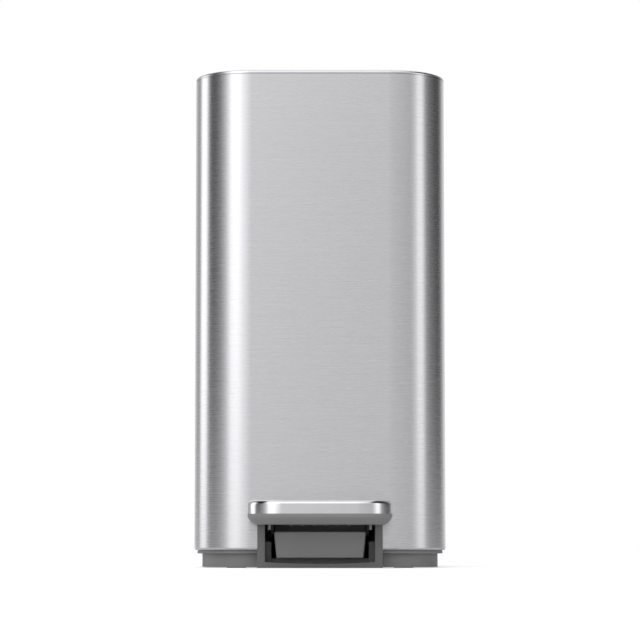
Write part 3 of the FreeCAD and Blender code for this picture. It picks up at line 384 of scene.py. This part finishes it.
class Bench:
    """The modelling steps that every new piece is made with."""

    @staticmethod
    def clear_selection() -> None:
        """Leaves nothing selected and no object being edited."""
        if bpy.context.object and bpy.context.object.mode != "OBJECT":
            bpy.ops.object.mode_set(mode="OBJECT")
        bpy.ops.object.select_all(action="DESELECT")

    @classmethod
    def block(cls, name: str, low: Sequence[float], high: Sequence[float]) -> bpy.types.Object:
        """Adds a block between two corners.

        Args:
            name: The piece's name.
            low: Its lowest corner.
            high: Its highest corner.

        Returns:
            The object, with its place in its mesh.
        """
        cls.clear_selection()
        middle = [(a + b) / 2 for a, b in zip(low, high)]
        bpy.ops.mesh.primitive_cube_add(size=1.0, location=middle)
        block = bpy.context.object
        block.name = name
        block.scale = [b - a for a, b in zip(low, high)]
        bpy.ops.object.transform_apply(location=True, rotation=True, scale=True)
        return block

    @classmethod
    def slab(cls, name: str, low: Sequence[float], high: Sequence[float], radius: float, segments: int,
             rounded: Callable[[Vector], bool] = lambda corner: True) -> bpy.types.Object:
        """Adds an upright slab with rounded corners between two corners of its box.

        Args:
            name: The piece's name.
            low: Its lowest corner.
            high: Its highest corner.
            radius: Radius of the upright corners.
            segments: Number of strips in each corner.
            rounded: Chooses the corners that are rounded.

        Returns:
            The object, with its place in its mesh.
        """
        cls.clear_selection()
        middle = ((low[0] + high[0]) / 2, (low[1] + high[1]) / 2, low[2])
        bpy.ops.mesh.primitive_plane_add(size=1.0, location=middle)
        slab = bpy.context.object
        slab.name = name
        slab.scale = (high[0] - low[0], high[1] - low[1], 1.0)
        bpy.ops.object.transform_apply(location=True, rotation=True, scale=True)
        cls.pick(slab, "VERT", lambda place, part: rounded(place))
        bpy.ops.mesh.bevel(offset=radius, segments=segments, profile=0.5, affect="VERTICES")
        bpy.ops.mesh.select_all(action="SELECT")
        bpy.ops.mesh.extrude_region_move(TRANSFORM_OT_translate={"value": (0.0, 0.0, high[2] - low[2])})
        bpy.ops.mesh.select_all(action="SELECT")
        bpy.ops.mesh.normals_make_consistent(inside=False)
        bpy.ops.object.mode_set(mode="OBJECT")
        return slab

    @classmethod
    def pick(cls, piece: bpy.types.Object, kind: str, test: Callable[[Vector, Any], bool]) -> int:
        """Selects, in edit mode, the edges or faces that pass a test.

        Args:
            piece: The piece.
            kind: "VERT", "EDGE" or "FACE".
            test: Called with the middle of each one and the edge or face itself.

        Returns:
            How many were selected.
        """
        cls.clear_selection()
        piece.select_set(True)
        bpy.context.view_layer.objects.active = piece
        bpy.ops.object.mode_set(mode="EDIT")
        bpy.ops.mesh.select_mode(type=kind)
        bpy.ops.mesh.select_all(action="DESELECT")
        mesh = bmesh.from_edit_mesh(piece.data)
        count = 0
        for part in {"VERT": mesh.verts, "EDGE": mesh.edges, "FACE": mesh.faces}[kind]:
            corners_of = [part] if kind == "VERT" else part.verts
            middle = sum((vertex.co for vertex in corners_of), Vector()) / len(corners_of)
            if test(middle, part):
                part.select_set(True)
                count += 1
        mesh.select_flush_mode()
        bmesh.update_edit_mesh(piece.data)
        return count

    @classmethod
    def round_edges(cls, piece: bpy.types.Object, radius: float, segments: int,
                    test: Callable[[Vector, Any], bool]) -> None:
        """Rounds the edges that pass a test.

        Args:
            piece: The piece.
            radius: Radius of the rounding.
            segments: Number of strips in the rounding.
            test: Chooses the edges.
        """
        cls.pick(piece, "EDGE", test)
        bpy.ops.mesh.bevel(offset=radius, offset_type="OFFSET", segments=segments, profile=0.5, affect="EDGES")
        bpy.ops.object.mode_set(mode="OBJECT")

    @classmethod
    def remove_faces(cls, piece: bpy.types.Object, test: Callable[[Vector, Any], bool]) -> None:
        """Deletes the faces that pass a test."""
        cls.pick(piece, "FACE", test)
        bpy.ops.mesh.delete(type="FACE")
        bpy.ops.object.mode_set(mode="OBJECT")

    @staticmethod
    def modify(piece: bpy.types.Object, kind: str, **settings: Any) -> None:
        """Adds a modifier and applies it."""
        bpy.context.view_layer.objects.active = piece
        modifier = piece.modifiers.new(kind.lower(), kind)
        for name, value in settings.items():
            setattr(modifier, name, value)
        bpy.ops.object.modifier_apply(modifier=modifier.name)

    @classmethod
    def cut(cls, piece: bpy.types.Object, low: Sequence[float], high: Sequence[float]) -> None:
        """Cuts a block out of a piece."""
        cutter = cls.block("cutter", low, high)
        cls.modify(piece, "BOOLEAN", operation="DIFFERENCE", object=cutter, solver="EXACT")
        bpy.data.objects.remove(cutter, do_unlink=True)

    @classmethod
    def finish(cls, piece: bpy.types.Object, angle: float = 35.0) -> bpy.types.Object:
        """Points the faces outwards and smooths what bends gently.

        Args:
            piece: The piece.
            angle: Edges sharper than this many degrees stay sharp.

        Returns:
            The piece.
        """
        cls.pick(piece, "FACE", lambda middle, face: True)
        bpy.ops.mesh.remove_doubles(threshold=0.000002)
        bpy.ops.mesh.select_all(action="SELECT")
        bpy.ops.mesh.normals_make_consistent(inside=False)
        bpy.ops.object.mode_set(mode="OBJECT")
        bpy.ops.object.shade_smooth_by_angle(angle=math.radians(angle))
        cls.modify(piece, "WEIGHTED_NORMAL", keep_sharp=True, weight=100)
        return piece


# ------------------------------------------------------------------------------------------------ sub-assemblies


@dataclass
class SteelSkins:
    """The three steel skins that are seen: the shell, the lid and the pedal's plate."""

    paint: Paint
    corner: float = 58.0 * MM
    sheet: float = 0.8 * MM
    hem_width: float = 4.0 * MM
    hem_radius: float = 2.5 * MM
    lid_round: float = 2.6 * MM
    pedal_corner: float = 34.0 * MM
    pedal_round: float = 4.6 * MM
    notch_half: float = 58.0 * MM
    notch_top: float = 53.5 * MM
    arc_segments: int = 44

    def _dress(self, piece: bpy.types.Object, node: str, body: str, slot: str) -> bpy.types.Object:
        """Gives a skin its finish and its place in the frame."""
        Bench.finish(piece)
        piece.data.materials.clear()
        piece.data.materials.append(self.paint.of(slot))
        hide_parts(node)
        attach(piece, body)
        LOG.info("%s: %d faces", piece.name, len(piece.data.polygons))
        return piece

    def shell(self) -> bpy.types.Object:
        """Returns the wrapper: open above, hemmed below and notched in front."""
        low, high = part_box("body_shell")
        piece = Bench.slab("shell_skin", low, high, self.corner, self.arc_segments)
        Bench.remove_faces(piece, lambda middle, face: face.normal.z > 0.9)
        Bench.pick(piece, "FACE", lambda middle, face: face.normal.z < -0.9)
        bpy.ops.mesh.inset(thickness=self.hem_width, depth=0.0)
        bpy.ops.mesh.delete(type="FACE")
        bpy.ops.object.mode_set(mode="OBJECT")
        foot = low[2]

        def outer_rim(middle: Vector, edge: Any) -> bool:
            """Returns true for the bottom edges between wall and hem."""
            return abs(middle.z - foot) < 1e-6 and len(edge.link_faces) == 2 and any(
                abs(face.normal.z) < 0.1 for face in edge.link_faces)

        Bench.round_edges(piece, self.hem_radius, 6, outer_rim)
        Bench.modify(piece, "SOLIDIFY", thickness=self.sheet, offset=-1.0)
        Bench.cut(piece, (-self.notch_half, low[1] - 0.005, 0.0), (self.notch_half, low[1] + 0.012, self.notch_top))
        return self._dress(piece, "body_shell", "can", "shell_steel")

    def lid(self) -> bpy.types.Object:
        """Returns the lid's cap, rounded along its top edge."""
        low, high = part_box("lid_cover")
        piece = Bench.slab("lid_skin", low, high, self.corner, self.arc_segments)
        top = high[2]
        Bench.round_edges(piece, self.lid_round, 8, lambda middle, edge: abs(middle.z - top) < 1e-6)
        Bench.remove_faces(piece, lambda middle, face: face.normal.z < -0.9)
        Bench.modify(piece, "SOLIDIFY", thickness=self.sheet, offset=-1.0)
        back = high[1]
        Bench.cut(piece, (-0.0268, back - 0.008, low[2] - 0.001), (0.0268, back + 0.001, high[2] - self.sheet))
        return self._dress(piece, "lid_cover", "lid", "lid_steel")

    def pedal(self) -> bpy.types.Object:
        """Returns the pedal's cap with its round front corners."""
        low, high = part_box("pedal_plate")
        front = low[1] + 0.001
        piece = Bench.slab("pedal_skin", low, high, self.pedal_corner, 30, lambda corner: corner.y < front)
        top = high[2]
        Bench.round_edges(piece, self.pedal_round, 9, lambda middle, edge: abs(middle.z - top) < 1e-6)
        Bench.remove_faces(piece, lambda middle, face: face.normal.z < -0.9)
        Bench.modify(piece, "SOLIDIFY", thickness=self.sheet, offset=-1.0)
        return self._dress(piece, "pedal_plate", "lever", "pedal_steel")

    def build(self) -> None:
        """Makes the three skins."""
        self.shell()
        self.lid()
        self.pedal()


@dataclass
class CarriedNodes:
    """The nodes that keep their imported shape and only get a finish."""

    paint: Paint
    frame: dict[str, Any]
    replaced: Sequence[str] = ("body_shell", "lid_cover", "pedal_plate")

    def build(self) -> None:
        """Gives each node the finish of its material slot."""
        slots = {entry["node"]: entry["material_slot"] for entry in self.frame["record"]["subparts"]}
        for name, node in self.frame["nodes"].items():
            if name in self.replaced:
                continue
            for place in node.material_slots:
                place.material = self.paint.of(slots[name])
            LOG.info("%s: %s", name, slots[name])


# ------------------------------------------------------------------------------------------------ studio


@dataclass(frozen=True)
class Wall:
    """One stop of the studio's round wall: a direction and how bright it is there."""

    azimuth: float
    level: float


@dataclass
class Studio:
    """A white floor, a round wall of soft panels and dark flags, and the camera."""

    radius: float = 3.4
    height: float = 6.0
    lens: float = 147.2
    distance: float = 2.734
    eye: float = 0.022
    pitch: float = 4.93
    walls: Sequence[Wall] = field(default_factory=lambda: (
        Wall(-180, 1.00), Wall(-156, 0.72), Wall(-139, 0.40), Wall(-128, 0.40), Wall(-119, 1.70), Wall(-104, 1.70),
        Wall(-97, 0.50), Wall(-91, 0.11), Wall(-80, 0.08), Wall(-68, 0.22), Wall(-58, 0.46), Wall(-50, 0.85),
        Wall(-42, 1.65), Wall(-28, 1.75), Wall(-18, 1.25), Wall(-10, 1.02), Wall(-4, 0.80), Wall(4, 0.61),
        Wall(46, 0.54), Wall(56, 0.90), Wall(63, 1.45), Wall(72, 1.40), Wall(81, 0.42), Wall(92, 0.19),
        Wall(112, 0.07), Wall(124, 0.08), Wall(134, 0.32), Wall(148, 0.76), Wall(180, 1.00),
    ))
    above: Sequence[Wall] = field(default_factory=lambda: (
        Wall(-180, 1.20), Wall(-140, 1.00), Wall(-122, 0.00), Wall(-72, 0.00), Wall(-56, 2.00), Wall(-20, 1.90),
        Wall(10, 1.30), Wall(45, 1.00), Wall(62, 0.00), Wall(125, 0.00), Wall(145, 1.00), Wall(180, 1.20),
    ))
    strongest: float = 2.0
    change_low: float = 1.5
    change_high: float = 2.6

    def floor(self) -> None:
        """Lays a white floor that keeps the object's shadow."""
        Bench.clear_selection()
        bpy.ops.mesh.primitive_circle_add(vertices=128, radius=self.radius, fill_type="NGON", location=(0, 0, 0))
        floor = bpy.context.object
        floor.name = "floor"
        material = bpy.data.materials.new("floor_white")
        material.use_nodes = True
        graph = Graph(material.node_tree)
        seen = graph.signal("ShaderNodeLightPath", {}, {}, "Is Camera Ray")
        shader = graph.node("ShaderNodeBsdfPrincipled", {}, {
            "Base Color": (0.86, 0.86, 0.86, 1.0), "Roughness": 0.9, "Specular IOR Level": 0.1,
            "Emission Color": (1.0, 1.0, 1.0, 1.0), "Emission Strength": seen * 0.45})
        graph.node("ShaderNodeOutputMaterial", {}, {"Surface": shader.outputs[0]})
        floor.data.materials.append(material)

    def ramp(self, graph: Graph, walls: Sequence[Wall], around: Signal) -> Signal:
        """Returns the brightness of a row of wall stops at a part of the full turn."""
        stops = [((stop.azimuth + 180.0) / 360.0, stop.level / self.strongest) for stop in walls]
        return graph.signal("ShaderNodeValToRGB", {"stops": stops}, {0: around})

    def wall(self) -> None:
        """Stands the round wall whose brightness follows its direction from the object."""
        Bench.clear_selection()
        bpy.ops.mesh.primitive_cylinder_add(vertices=180, radius=self.radius, depth=self.height,
                                            end_fill_type="NOTHING", location=(0, 0, self.height / 2))
        wall = bpy.context.object
        wall.name = "studio_wall"
        bpy.ops.object.transform_apply(location=True, rotation=True, scale=True)
        material = bpy.data.materials.new("studio_panels")
        material.use_nodes = True
        graph = Graph(material.node_tree)
        place = graph.signal("ShaderNodeTexCoord", {}, {}, "Object")
        apart = graph.node("ShaderNodeSeparateXYZ", {}, {0: place})
        across, along, up = (Signal(graph, apart.outputs[axis]) for axis in range(3))
        turn = graph.signal("ShaderNodeMath", {"operation": "ARCTAN2"}, {0: across, 1: along * -1.0})
        around = turn / (2 * math.pi) + 0.5
        low, high = (self.ramp(graph, walls, around) for walls in (self.walls, self.above))
        rise = up.between(self.change_low, self.change_high)
        glow = graph.node("ShaderNodeEmission", {}, {
            "Color": graph.signal("ShaderNodeMix", {"data_type": "RGBA"}, {0: rise, 6: low, 7: high}, 2),
            "Strength": self.strongest})
        graph.node("ShaderNodeOutputMaterial", {}, {"Surface": glow.outputs[0]})
        wall.data.materials.append(material)
        wall.visible_camera = False

    def sky(self) -> None:
        """Fills the space above and behind the wall with plain white."""
        world = bpy.data.worlds.new("studio_white")
        world.use_nodes = True
        bpy.context.scene.world = world
        graph = Graph(world.node_tree)
        path = graph.node("ShaderNodeLightPath", {}, {})
        camera, glossy, through = (Signal(graph, path.outputs[name]) for name in (
            "Is Camera Ray", "Is Glossy Ray", "Is Transmission Ray"))
        shown = graph.signal("ShaderNodeMath", {"operation": "MAXIMUM"}, {0: camera + glossy, 1: through})
        level = shown.between(0.0, 1.0) * 0.15 + 0.85
        back = graph.node("ShaderNodeBackground", {}, {"Color": (1.0, 1.0, 1.0, 1.0), "Strength": level})
        graph.node("ShaderNodeOutputWorld", {}, {"Surface": back.outputs[0]})

    def camera(self) -> None:
        """Sets the camera low in front of the bin."""
        data = bpy.data.cameras.new("camera")
        data.lens = self.lens
        data.sensor_width = 36.0
        data.clip_end = 50.0
        camera = bpy.data.objects.new("camera", data)
        camera.location = (0.0, -self.distance, self.eye)
        camera.rotation_euler = (math.radians(90.0 + self.pitch), 0.0, 0.0)
        bpy.context.scene.collection.objects.link(camera)
        bpy.context.scene.camera = camera

    def build(self) -> None:
        """Builds the studio."""
        self.floor()
        self.wall()
        self.sky()
        self.camera()
        bpy.context.scene.view_settings.view_transform = "Standard"


def main() -> None:
    """Loads the frame and builds each sub-assembly in order."""
    logging.basicConfig(level=logging.INFO, format="%(message)s")
    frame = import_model()
    paint = Paint()
    CarriedNodes(paint, frame).build()
    SteelSkins(paint).build()
    Studio().build()


if __name__ == "__main__":
    main()
